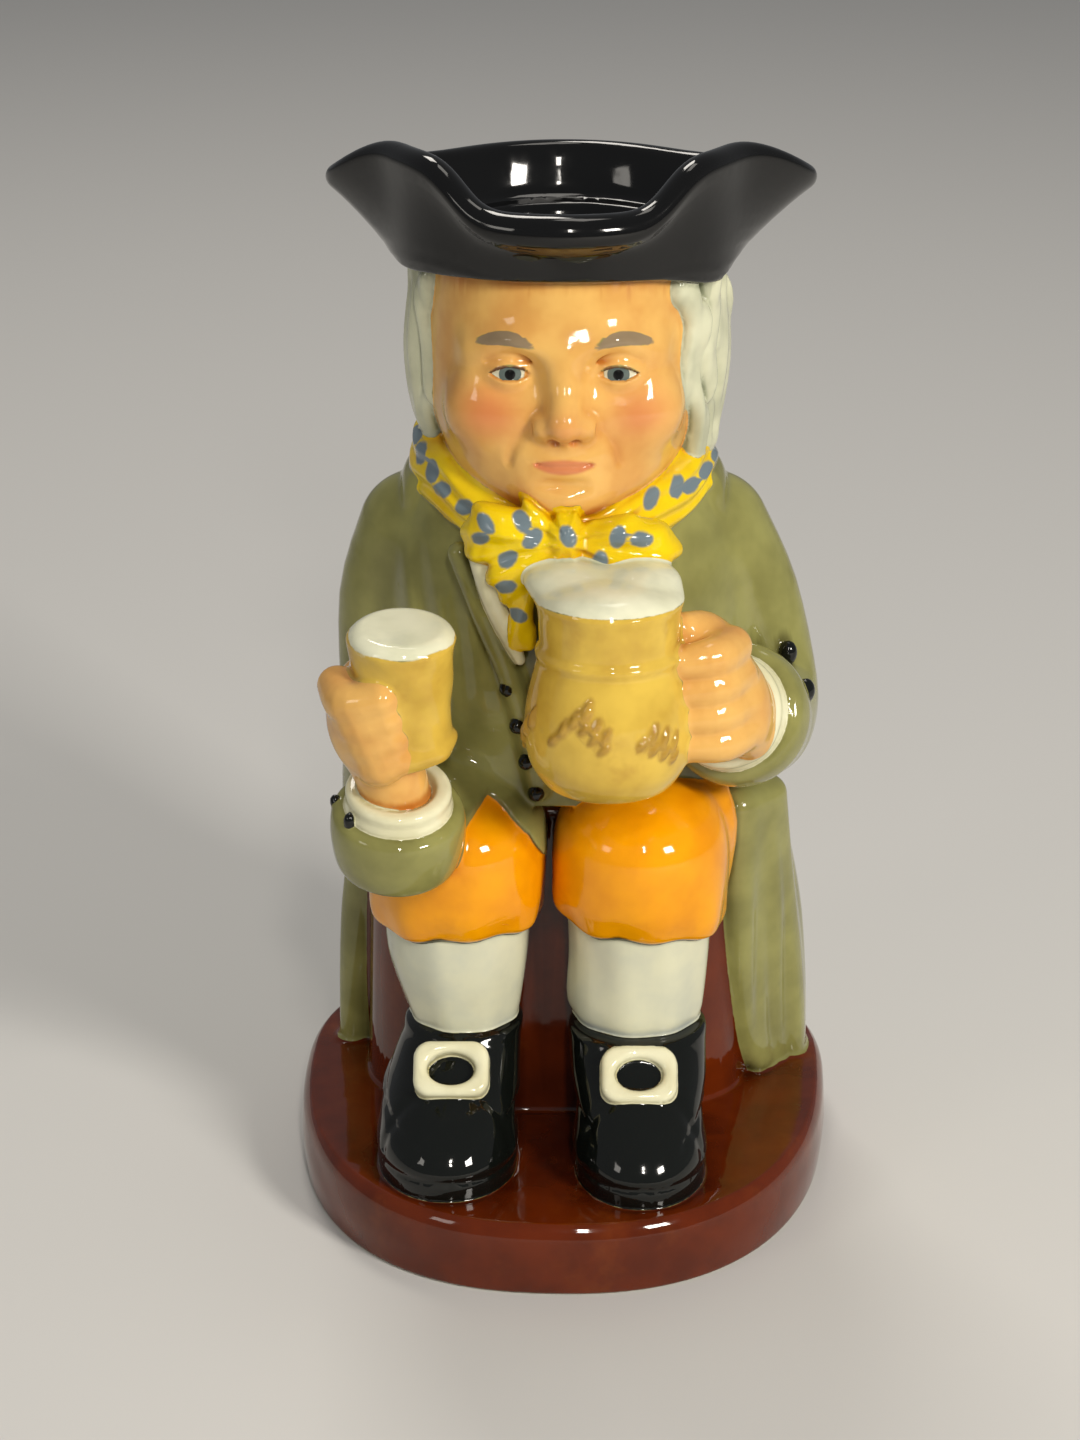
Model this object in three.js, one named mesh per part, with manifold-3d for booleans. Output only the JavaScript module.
// A toby jug: a slip-cast and glazed earthenware jug in the form of a seated man in a
// three-cornered hat, who holds a foaming beaker in one hand and a jug of ale on his knee.
// The hat's brim is the rim, the body is hollow down to the base, and a loop handle stands
// at the back. It was joined as wet clay and fired as one piece, so it is one solid.
//
// Millimetres, +Z up, the figure faces -Y. The origin is on the underside, in the middle
// of the base.

import * as THREE from "three";
import { mergeVertices } from "three/addons/utils/BufferGeometryUtils.js";
import Module from "manifold-3d";

// ---------------------------------------------------------------- driving dimensions

const WALL = 5; // wall of the casting
const FLOOR = 7; // and of its bottom
const BASE = { halfWidth: 58.2, y: 14, front: 80, back: 50, turn: -2.3, height: 17.4, square: 2.35 };
const SEAT = { y: 14, halfWidth: 40, halfDepth: 29, top: 86, square: 3 };
const LAP_Z = 92; // below it the coat hangs open in front
const LEGS = [
  { x: -22, footX: -24 }, // the figure sits a little to one side
  { x: 16.2, footX: 16.6 },
];
const LEG_Y = -20;
const KNEE = { z: 80, radius: 18.3 };
const HEM_Z = 64;
const SHOE = { halfWidth: 14.8, halfLength: 24, toeY: -58.4 };
const BUCKLE = { half: 8.2, hole: 4.7, thick: 3.6, slope: 40, y: -37.8, z: 37.6 };
const SHOULDER = { x: 30.5, y: 5, z: 142.5, radius: 12.5 };
const EYES_Z = 185.5;
const WIG = { halfWidth: 33, halfDepth: 32 };
const HAT = { bandX: 32.3, bandY: 33, edgeZ: 203.5, rimZ: 216, peak: 10, side: 35.5 };
const CUP_LEAN = 4; // degrees
const HANDLE = { halfWidth: 7.5, halfThick: 4.6, reach: 73 };
const NAME = "toby_jug";

// ---------------------------------------------------------------- building blocks

const wasm = await Module();
wasm.setup();

const vec = (x, y, z) => new THREE.Vector3(x, y, z);
const rad = THREE.MathUtils.degToRad;
const TURN = 2 * Math.PI;
const UP = vec(0, 0, 1);
const SIDEWAYS = vec(1, 0, 0);

// A closed three.js geometry as a solid that can be joined and cut.
function solidOf(geometry) {
  const bare = new THREE.BufferGeometry();
  bare.setAttribute("position", geometry.getAttribute("position"));
  bare.setIndex(geometry.index);
  const merged = mergeVertices(bare, 1e-3);
  const triVerts = new Uint32Array(merged.index.array);
  const vertProperties = merged.getAttribute("position").array;
  const made = new wasm.Manifold(new wasm.Mesh({ numProp: 3, vertProperties, triVerts }));
  if (made.volume() > 0) return made;
  for (let i = 0; i < triVerts.length; i += 3) {
    [triVerts[i], triVerts[i + 1]] = [triVerts[i + 1], triVerts[i]];
  }
  return new wasm.Manifold(new wasm.Mesh({ numProp: 3, vertProperties, triVerts }));
}

// A skin over rings that hold the same number of points. The first and last ring are
// closed with a fan, or joined to each other when the loft runs round in a loop.
function loft(rings, loop = false) {
  const sides = rings[0].length;
  const points = rings.flat();
  const index = [];
  const spans = loop ? rings.length : rings.length - 1;
  for (let r = 0; r < spans; r++) {
    for (let s = 0; s < sides; s++) {
      const a = r * sides + s;
      const b = r * sides + ((s + 1) % sides);
      const c = ((r + 1) % rings.length) * sides + s;
      const d = ((r + 1) % rings.length) * sides + ((s + 1) % sides);
      index.push(a, b, d, a, d, c);
    }
  }
  if (!loop) {
    for (const first of [0, (rings.length - 1) * sides]) {
      const middle = points.length;
      const ring = points.slice(first, first + sides);
      points.push(ring.reduce((sum, p) => sum.add(p), vec(0, 0, 0)).divideScalar(sides));
      for (let s = 0; s < sides; s++) {
        const pair = [first + s, first + ((s + 1) % sides)];
        index.push(...(first ? pair : pair.reverse()), middle);
      }
    }
  }
  return new THREE.BufferGeometry().setFromPoints(points).setIndex(index);
}

// Rows of numbers made finer: `count` rows on smooth curves through the given ones.
function smoothRows(rows, count) {
  const last = rows.length - 1;
  return Array.from({ length: count }, (_, i) => {
    const at = (last * i) / (count - 1);
    const k = Math.min(Math.floor(at), last - 1);
    const t = at - k;
    const [a, b, c, d] = [k - 1, k, k + 1, k + 2].map(
      (n) => rows[THREE.MathUtils.clamp(n, 0, last)],
    );
    return b.map((_, j) => {
      const slopeB = (c[j] - a[j]) / 2;
      const slopeC = (d[j] - b[j]) / 2;
      const bend = 3 * (c[j] - b[j]) - 2 * slopeB - slopeC;
      const twist = 2 * (b[j] - c[j]) + slopeB + slopeC;
      return b[j] + t * (slopeB + t * (bend + t * twist));
    });
  });
}

// A point on a rounded rectangle: power 2 is an ellipse, and more is squarer.
function superellipse(angle, halfX, halfY, power) {
  const bow = (v) => Math.sign(v) * Math.abs(v) ** (2 / power);
  return [halfX * bow(Math.cos(angle)), halfY * bow(Math.sin(angle))];
}

// A body built up of level slices, each [z, x, y, halfX, halfY]. `gather` brings the points
// of each slice closer together in front.
function stack(slices, options = {}) {
  const { sides = 20, levels = 6, power = 2, gather = 0, shape = (p) => p } = options;
  const rings = smoothRows(slices, levels).map(([z, x, y, halfX, halfY]) =>
    Array.from({ length: sides }, (_, s) => {
      const even = (s / sides) * TURN;
      const [dx, dy] = superellipse(even - gather * Math.cos(even), halfX, halfY, power);
      return shape(vec(x + dx, y + dy, z));
    }),
  );
  return loft(rings);
}

// A rounded limb along a smooth path of points [x, y, z, radius], with round ends.
// `flat` squeezes its section towards `across`.
function limb(path, { sides = 8, steps = 4, across = UP, flat = 1, caps = [40, 78] } = {}) {
  const curve = new THREE.CatmullRomCurve3(path.map(([x, y, z]) => vec(x, y, z)));
  const radii = smoothRows(path.map((p) => [p[3]]), steps + 1).map(([r]) => r);
  const ends = caps.map(rad);
  const stations = [
    ...ends.toReversed().map((a) => [0, -Math.sin(a), Math.cos(a)]),
    ...radii.map((_, i) => [i / steps, 0, 1]),
    ...ends.map((a) => [1, Math.sin(a), Math.cos(a)]),
  ];
  const rings = stations.map(([t, beyond, share]) => {
    const radius = radii[Math.round(t * steps)];
    const along = curve.getTangent(t);
    const side = across.clone().cross(along).normalize();
    const other = along.clone().cross(side);
    const centre = curve.getPoint(t).addScaledVector(along, beyond * radius);
    return Array.from({ length: sides }, (_, s) => {
      const angle = (s / sides) * TURN;
      return centre
        .clone()
        .addScaledVector(side, Math.cos(angle) * radius * share)
        .addScaledVector(other, Math.sin(angle) * radius * share * flat);
    });
  });
  return loft(rings);
}

// An ellipsoid, turned about X, then Y, then Z.
function blob([x, y, z], [rx, ry, rz], { turn = [0, 0, 0], sides = 10, rows = 7 } = {}) {
  return new THREE.SphereGeometry(1, sides, rows)
    .rotateX(Math.PI / 2)
    .scale(rx, ry, rz)
    .rotateX(rad(turn[0]))
    .rotateY(rad(turn[1]))
    .rotateZ(rad(turn[2]))
    .translate(x, y, z);
}

// A turned shape [radius, height] ..., stood on `foot` along `axis`.
function turned(profile, foot, axis = vec(0, 0, 1), sides = 16) {
  const points = profile.map(([r, h]) => new THREE.Vector2(r, h));
  const lie = new THREE.Quaternion().setFromUnitVectors(vec(0, 1, 0), axis.clone().normalize());
  return new THREE.LatheGeometry(points, sides).applyQuaternion(lie).translate(...foot);
}

// ---------------------------------------------------------------- base, seat and coat skirt

// Longer in front of its widest line than behind it, and set a little askew.
function base() {
  const { halfWidth: a, y, front, back, turn, height: h, square } = BASE;
  const shape = (p) => {
    const reach = p.y < 0 ? front : back;
    return p.setY(y + (p.y * reach) / a).applyAxisAngle(UP, rad(turn));
  };
  return [
    stack(
      [
        [0, 0, 0, a - 1.6, a - 1.6],
        [1.2, 0, 0, a - 0.3, a - 0.3],
        [h * 0.45, 0, 0, a, a],
        [h * 0.8, 0, 0, a - 0.8, a - 0.8],
        [h - 0.8, 0, 0, a - 2.6, a - 2.6],
        [h, 0, 0, a - 6, a - 6],
      ],
      { sides: 36, levels: 5, power: square, shape },
    ),
  ];
}

function seat(inset = 0) {
  const { y, halfWidth, halfDepth, top, square } = SEAT;
  const slice = (z, less) => [z, 0, y, halfWidth - less - inset, halfDepth - less - inset];
  const foot = inset ? FLOOR : BASE.height - 4;
  return [stack([slice(foot, 0), slice(top - inset, 1.6)], { levels: 2, power: square })];
}

// The coat is the body of the jug: shoulders, chest and a skirt that hangs round the back and
// sides of the seat. Drawn in by `inset` it is the hollow inside.
function coat(inset = 0) {
  const slices = [
    [inset ? FLOOR : BASE.height - 4, 2.2, 17, 51.5, 41],
    [34, 2.2, 16, 51, 39.5],
    [56, 1.8, 14.5, 49.4, 37],
    [77, 1.2, 11.5, 46, 34.5],
    [97, 0.4, 8, 41.5, 33.5],
    [113, 0, 6, 39.8, 34],
    [130, 0, 6, 39, 33],
    [144, 0, 5, 36.5, 29.5],
    [154, 0, 3.5, 32, 26],
    [163, 0, 2, 26.5, 22],
    [172, 0, 0, 22, 19],
  ].map(([z, x, y, halfX, halfY]) => [z, x, y, halfX - inset, halfY - inset]);
  const front = (z) => (z < LAP_Z ? 14 - 0.2 * (z - BASE.height) : -Infinity);
  const shape = (p) => p.setY(Math.max(p.y, front(p.z) + inset));
  return [stack(slices, { sides: inset ? 16 : 24, levels: inset ? 8 : 11, power: 2.15, shape })];
}

// ---------------------------------------------------------------- legs and shoes

function leg(x) {
  const { z, radius } = KNEE;
  const outward = Math.sign(x);
  const stocking = stack(
    [
      [14, x + 0.6, LEG_Y + 1, 11.6, 12],
      [30, x + 0.9, LEG_Y + 1, 11.8, 12.2],
      [42, x + 0.6, LEG_Y, 13, 13.2],
      [58, x, LEG_Y, 14.9, 14.9],
      [70, x, LEG_Y, 15.2, 15.2],
    ],
    { sides: 12, levels: 4 },
  );
  const knee = stack(
    [
      [HEM_Z, x, LEG_Y, radius - 2.2, radius - 2.4],
      [HEM_Z + 1.5, x, LEG_Y, radius - 0.6, radius - 0.8],
      [z - 6, x, LEG_Y - 1, radius, radius],
      [z + 6, x, LEG_Y - 1, radius - 0.8, radius - 0.4],
      [z + 13, x, LEG_Y + 1, radius - 5, radius - 4],
      [z + 17, x, LEG_Y + 3, radius - 12, radius - 11],
    ],
    { sides: 14, levels: 7 },
  );
  const thigh = limb(
    [
      [x, LEG_Y + 4, z + 0.5, 17],
      [x + 2 * outward, -4, z + 2, 17.6],
      [x * 0.8, 16, z + 1, 17],
    ],
    { sides: 10, steps: 2 },
  );
  return [stocking, knee, thigh];
}

function shoe(x) {
  const { halfWidth: w, toeY } = SHOE;
  const heelY = toeY + 2 * SHOE.halfLength;
  const waist = (p) => 1 - 0.14 * THREE.MathUtils.smoothstep(p.y, toeY + 14, toeY + 34);
  const shape = (p) => p.setX(x + (p.x - x) * waist(p));
  const slice = (z, inset, toeBack) => {
    const half = SHOE.halfLength - inset - toeBack / 2;
    return [z, x, (toeY + heelY + toeBack) / 2, w - inset, half];
  };
  return [
    stack(
      [
        slice(15, 0.6, 0),
        slice(18.4, 0, 0),
        slice(20, 1.2, 0),
        slice(25, 0.8, 1),
        slice(29.5, 1.4, 6),
        slice(34, 1.8, 14),
        slice(39, 2.2, 22),
        slice(43, 3.4, 26),
      ],
      { sides: 16, levels: 8, power: 2.6, shape },
    ),
  ];
}

// A pressed buckle: a rounded square frame that lies on the slope of the instep.
function buckle(x) {
  const { half, hole, thick, slope, y, z } = BUCKLE;
  const frame = new THREE.Shape().absellipse(0, 0, half, half, 0, TURN, false, 0);
  frame.holes.push(new THREE.Path().absellipse(0, 0, hole, hole * 0.8, 0, TURN, false, 0));
  const options = { depth: thick, bevelEnabled: false, curveSegments: 5 };
  const plate = new THREE.ExtrudeGeometry(frame, options).translate(0, 0, -thick / 2);
  return [plate.rotateX(rad(slope)).translate(x, y, z)];
}

// ---------------------------------------------------------------- coat, arms and hands

// The front edge of the coat, where it lies over the chest.
function lapel() {
  const path = [
    [-20, -24.6, 147, 2.4],
    [-13.4, -27, 132, 2.6],
    [-9, -27.4, 115, 2.4],
    [-5, -25.6, 96, 2.2],
  ];
  return [limb(path, { sides: 6, steps: 4, across: SIDEWAYS, caps: [55] })];
}

function buttons() {
  const places = [
    [-11.4, -29, 119.5],
    [-9.4, -29.4, 111.5],
    [-7.6, -29, 103.5],
    [-5.6, -28, 96],
  ];
  return places.map(([x, y, z]) => blob([x, y + 1, z], [1.8, 2, 1.8], { sides: 5, rows: 4 }));
}

// The turned-back cuff of the coat, and the shirt's frill that shows beyond it.
const CUFF = [[0, 0], [9.8, 0], [12.8, 2.5], [13.5, 8], [13.2, 14.2], [9.8, 15.2]].concat([
  [11.6, 16.2],
  [11.9, 19],
  [9.6, 21],
  [0, 21.4],
]);

function leftArm() {
  const { x, y, z, radius } = SHOULDER;
  const lean = vec(0, -0.48, 0.87);
  const sleeve = limb(
    [
      [-x, y, z, radius],
      [-36, y + 1, 127, 11.4],
      [-35.5, y - 2, 105, 11.8],
      [-34, -14, 95, 12],
      [-33.5, -27, 92.5, 12.4],
    ],
    { sides: 10, steps: 5, across: SIDEWAYS },
  );
  const cuff = turned(CUFF, [-33.6, -33.5, 86.5], lean, 12);
  const wrist = limb(
    [
      [-33.6, -38.5, 97, 8],
      [-34.6, -43, 104, 7.4],
      [-37.5, -46, 112, 7.6],
    ],
    { steps: 2, across: SIDEWAYS },
  );
  return [sleeve, cuff, wrist];
}

// The fist that holds the beaker: the back of the hand, and four fingers that rise from the
// knuckles, round the front, to their tips.
function leftHand() {
  const back = blob([-40, -45, 119], [8, 8.4, 12], { turn: [0, 12, 0] });
  const fingers = [0, 1, 2, 3].map((i) =>
    limb(
      [
        [-45 + i * 1.5, -43, 126 - i * 5.6, 4.2],
        [-43 + i * 1.7, -51.6, 126.8 - i * 5.8, 4.5],
        [-35 + i * 1.3, -55.2, 130 - i * 6, 3.9],
      ],
      { sides: 6, steps: 2, caps: [55] },
    ),
  );
  return [back, ...fingers];
}

function rightArm() {
  const { x, y, z, radius } = SHOULDER;
  const reach = vec(-0.3, -0.86, 0.41);
  const sleeve = limb(
    [
      [x, y, z, radius],
      [37.5, y, 128, 12],
      [41.8, y - 3, 109, 12],
      [40, -11, 106.5, 12],
      [37.6, -20, 109.5, 12],
    ],
    { sides: 10, steps: 5, across: SIDEWAYS },
  );
  const cuff = turned(CUFF, [40.6, -12.5, 106.5], reach, 12);
  const wrist = limb(
    [
      [37, -24, 112, 8.4],
      [33.6, -32, 116.5, 8],
      [31, -37, 123, 8],
    ],
    { steps: 2, across: SIDEWAYS },
  );
  return [sleeve, cuff, wrist];
}

// The hand on the jug: its back, and four fingers stacked down the jug's handle.
function rightHand() {
  const back = blob([31, -37.5, 127], [7, 8, 12.5], { turn: [0, -8, 0] });
  const fingers = [0, 1, 2, 3].map((i) =>
    limb(
      [
        [32.6 + i * 0.6, -39, 138 - i * 6.6, 3.9],
        [29.4 + i * 0.5, -46.4, 137.4 - i * 6.6, 4],
        [23.2 + i * 0.5, -47.6, 135.6 - i * 6.4, 3.6],
      ],
      { sides: 6, steps: 2, caps: [55] },
    ),
  );
  return [back, ...fingers];
}

// ---------------------------------------------------------------- what he holds

function beaker() {
  const lean = vec(-Math.sin(rad(CUP_LEAN)), 0.06, 1);
  return [
    turned(
      [[0, 0], [10.2, 0], [11.2, 1.6], [11, 3.6], [9.9, 5.6], [10.3, 12], [10.8, 22]]
        .concat([[11.2, 25], [10, 26.6], [5, 27.6], [0, 27.8]]),
      [-30, -45.6, 110.5],
      lean,
      14,
    ),
  ];
}

function aleJug() {
  return [
    turned(
      [[0, 0], [10, 0], [13.4, 2.4], [15.9, 7.6], [16.8, 14], [16, 20.4], [13.9, 26], [14.2, 27]]
        .concat([[13.2, 28.6], [13.4, 37.6], [13.9, 39], [14.2, 41], [12, 44], [6, 45.6], [0, 46]]),
      [8.4, -43.5, 103],
      UP,
      14,
    ),
  ];
}

// ---------------------------------------------------------------- head, wig and neckcloth

// The head in level slices, and the features swelled out of its front: [across, up, width,
// height, how far], where `up` counts from the line of the eyes.
const HEAD = [
  [156.5, 0, -14, 8, 14],
  [158.5, 0, -13, 14, 18],
  [162, 0, -10, 19, 22.5],
  [168, 0, -7, 22.5, 25],
  [176, 0, -5, 24.6, 26.5],
  [EYES_Z, 0, -4, 25.4, 27],
  [196, 0, -4, 25, 27],
  [208, 0, -4, 24.6, 26],
];
const FEATURES = [
  [0, -2.5, 4, 7, 3.8], // bridge of the nose
  [0, -9.4, 5, 4, 6], // its tip
  [0, -16.8, 7.4, 2.4, 2.2], // lips
  [0, -25, 9, 5, 3.6], // chin
  ...[-1, 1].flatMap((side) => [
    [side * 10.5, 5.6, 7, 2.8, 2], // brow
    [side * 9.4, 0.4, 5, 3, -2.4], // eye socket
    [side * 14, -9, 7, 7, 2.6], // cheek
  ]),
];

function head() {
  const shape = (p) => {
    const push = FEATURES.reduce((sum, [across, up, width, height, far]) => {
      const fall = ((p.x - across) / width) ** 2 + ((p.z - EYES_Z - up) / height) ** 2;
      return sum + far * Math.exp(-fall);
    }, 0);
    return p.setY(p.y < -8 ? p.y - push : p.y);
  };
  return [stack(HEAD, { sides: 24, levels: 14, gather: 0.5, shape })];
}

// The wig: a full shell over the back and sides of the head, and rolled locks beside the face.
function wig() {
  const { halfWidth: w, halfDepth: d } = WIG;
  const front = (z) => -17 + 0.12 * (HAT.edgeZ - z);
  const shape = (p) => p.setY(Math.max(p.y, front(p.z)));
  const shell = stack(
    [
      [164, 0, 2, w - 4.5, d - 5],
      [172, 0, 1, w - 1.2, d - 1.6],
      [185, 0, 0, w, d],
      [198, 0, 0, w - 0.4, d],
      [206, 0, 0, w - 2, d - 1],
    ],
    { sides: 24, levels: 5, shape },
  );
  const locks = [-1, 1].flatMap((side) => [
    limb(
      [
        [side * 26.4, -16.5, 203, 5.2],
        [side * 27.6, -16.5, 190, 5.6],
        [side * 27, -13, 176, 5.2],
        [side * 26.4, -9, 166, 4.4],
      ],
      { sides: 6, steps: 4, across: SIDEWAYS },
    ),
  ]);
  const curl = blob([26, -19.5, 196.5], [6.6, 6.4, 9.4], { sides: 8 });
  const tress = blob([0, 24, 164], [18, 10, 15], { sides: 12 });
  return [shell, ...locks, curl, tress];
}

// The neckcloth: a thick roll round the neck that dips in front, a knot, loops and a tail.
function neckcloth() {
  const turns = 18;
  const rings = Array.from({ length: turns }, (_, i) => {
    const angle = (i / turns) * TURN;
    const front = ((1 - Math.sin(angle)) / 2) ** 2;
    const out = vec(Math.cos(angle), Math.sin(angle), 0);
    const centre = vec(25 * out.x, 1 + (24.4 + 1.6 * front) * out.y, 164 - 10.5 * front);
    return Array.from({ length: 6 }, (_, s) => {
      const around = (s / 6) * TURN;
      return centre
        .clone()
        .addScaledVector(out, 6 * Math.cos(around))
        .setZ(centre.z + 7.4 * Math.sin(around));
    });
  });
  return [
    loft(rings, true),
    blob([0, -32, 151.6], [5.4, 6, 6.2], { sides: 8, rows: 6 }),
    blob([-12.8, -28.8, 150.6], [10.4, 5.6, 7.4], { turn: [0, 10, 8], sides: 8, rows: 6 }),
    blob([13, -28.8, 151], [11, 5.6, 7.4], { turn: [0, -10, -8], sides: 8, rows: 6 }),
    limb(
      [
        [-2, -32.4, 149, 4.6],
        [-6.4, -31, 141, 5.4],
        [-9.4, -29.4, 133, 3.4],
      ],
      { sides: 6, steps: 3, across: SIDEWAYS, flat: 0.7 },
    ),
  ];
}

// ---------------------------------------------------------------- hat

const ROLL_INSET = 6; // from the brim's outermost line to the inside of its rolled edge
const FRONT = rad(-90);
const TIPS = [
  { angle: rad(166), reach: 13.4 },
  { angle: rad(13), reach: 16 },
];
const PEAKS = [rad(-27), rad(-153)];

const apart = (a, b) => Math.atan2(Math.sin(a - b), Math.cos(a - b));
const swell = (angle, middle, width, power) =>
  Math.exp(-(Math.abs(apart(angle, middle) / rad(width)) ** power));

// Where the brim's edge runs, looking down: out to three corners, the front one blunt.
function rimRadius(angle) {
  const tips = TIPS.reduce((sum, t) => sum + t.reach * swell(angle, t.angle, 19, 2), 0);
  return HAT.side + tips + 2 * swell(angle, FRONT, 26, 2) + 1.5 * swell(angle, -FRONT, 40, 2);
}

// How high the brim's edge stands: two raised sides, with the pouring lip low between them.
function rimHeight(angle) {
  const raised = PEAKS.reduce((sum, p) => sum + swell(angle, p, 30, 4), 0);
  return HAT.rimZ + HAT.peak * raised ;
}

// A point on the brim, from share 0 at the head to 1 at the edge, drawn in by `inset`.
function brimPoint(angle, share, inset = 0) {
  const head = 1 / Math.hypot(Math.cos(angle) / HAT.bandX, Math.sin(angle) / HAT.bandY);
  const dip = 4 * swell(angle, rad(-14), 16, 2) + 2.6 * swell(angle, rad(-170), 16, 2);
  const low = HAT.edgeZ - dip;
  const radius = head + (rimRadius(angle) - head) * Math.max(share, 0) ** 0.8 - inset;
  const height = low + (rimHeight(angle) - low) * share;
  return vec(radius * Math.cos(angle), radius * Math.sin(angle), height);
}

// One ring of the brim, from a point for each angle.
const around = (make) => Array.from({ length: 36 }, (_, s) => make((s / 36) * TURN));

// The brim as rings from the head outward, ending in a rolled edge.
function hat() {
  const roll = (turn) =>
    around((a) => {
      const thick = 2.5 + 1.7 * swell(a, FRONT, 42, 2);
      const p = brimPoint(a, 0.94, 1.6);
      const out = thick * Math.cos(rad(turn));
      return vec(p.x + out * Math.cos(a), p.y + out * Math.sin(a), p.z + thick * Math.sin(rad(turn)));
    });
  return [
    loft([
      around((a) => brimPoint(a, 0, 7)),
      around((a) => brimPoint(a, 0)),
      around((a) => brimPoint(a, 0.35)),
      around((a) => brimPoint(a, 0.7)),
      roll(-60),
      roll(0),
      roll(70),
      around((a) => brimPoint(a, 0.94, ROLL_INSET + 0.3)),
    ]),
  ];
}

// ---------------------------------------------------------------- hollow and handle

// The inside of the jug: it follows the coat and the seat, narrows at the neck and opens out
// through the head into the hat.
function hollow() {
  const neck = stack(
    [
      [150, 0, 3, 26, 22],
      [160, 0, 1, 22, 20],
      [172, 0, 0, 25, 24.5],
      [184, 0, 0, 27.2, 26.4],
      [196, 0, 0, 27.6, 27.6],
      [204, 0, 0, 27, 27.4],
    ],
    { sides: 16, levels: 5 },
  );
  const mouth = loft([
    around((a) => brimPoint(a, -0.1, WALL)),
    around((a) => brimPoint(a, 0.4, WALL)),
    around((a) => brimPoint(a, 0.94, ROLL_INSET)),
    around((a) => brimPoint(a, 1.7, ROLL_INSET)),
  ]);
  return [...coat(WALL), ...seat(WALL), neck, mouth];
}

function handle() {
  const { halfWidth, halfThick, reach } = HANDLE;
  const path = new THREE.CatmullRomCurve3(
    [
      [29, 189],
      [46, 196],
      [64, 188],
      [reach, 164],
      [reach, 124],
      [65, 88],
      [48, 70],
      [34, 66],
    ].map(([y, z]) => vec(0, y, z)),
  );
  const section = new THREE.Shape().absellipse(0, 0, halfThick, halfWidth, 0, TURN, false, 0);
  const options = { steps: 15, extrudePath: path, curveSegments: 5 };
  return [new THREE.ExtrudeGeometry(section, options)];
}

// ---------------------------------------------------------------- the finished casting

const pieces = [
  ...base(),
  ...seat(),
  ...coat(),
  ...LEGS.flatMap(({ x, footX }) => [...leg(x), ...shoe(footX), ...buckle(footX)]),
  ...lapel(),
  ...buttons(),
  ...leftArm(),
  ...leftHand(),
  ...rightArm(),
  ...rightHand(),
  ...beaker(),
  ...aleJug(),
  ...head(),
  ...wig(),
  ...neckcloth(),
  ...hat(),
  ...handle(),
];
const join = (parts) => parts.map(solidOf).reduce((whole, part) => whole.add(part));
const cast = join(pieces).subtract(join(hollow()));

function meshOf(solid) {
  const { vertProperties, triVerts } = solid.getMesh();
  const geometry = new THREE.BufferGeometry()
    .setAttribute("position", new THREE.BufferAttribute(vertProperties, 3))
    .setIndex(new THREE.BufferAttribute(triVerts, 1));
  geometry.computeVertexNormals();
  return geometry;
}

const glaze = new THREE.MeshStandardMaterial({ color: 0x6b6a50, roughness: 0.12, metalness: 0 });
const jug = new THREE.Mesh(meshOf(cast), glaze);
jug.name = NAME;

const group = new THREE.Group();
group.add(jug);
export default group;
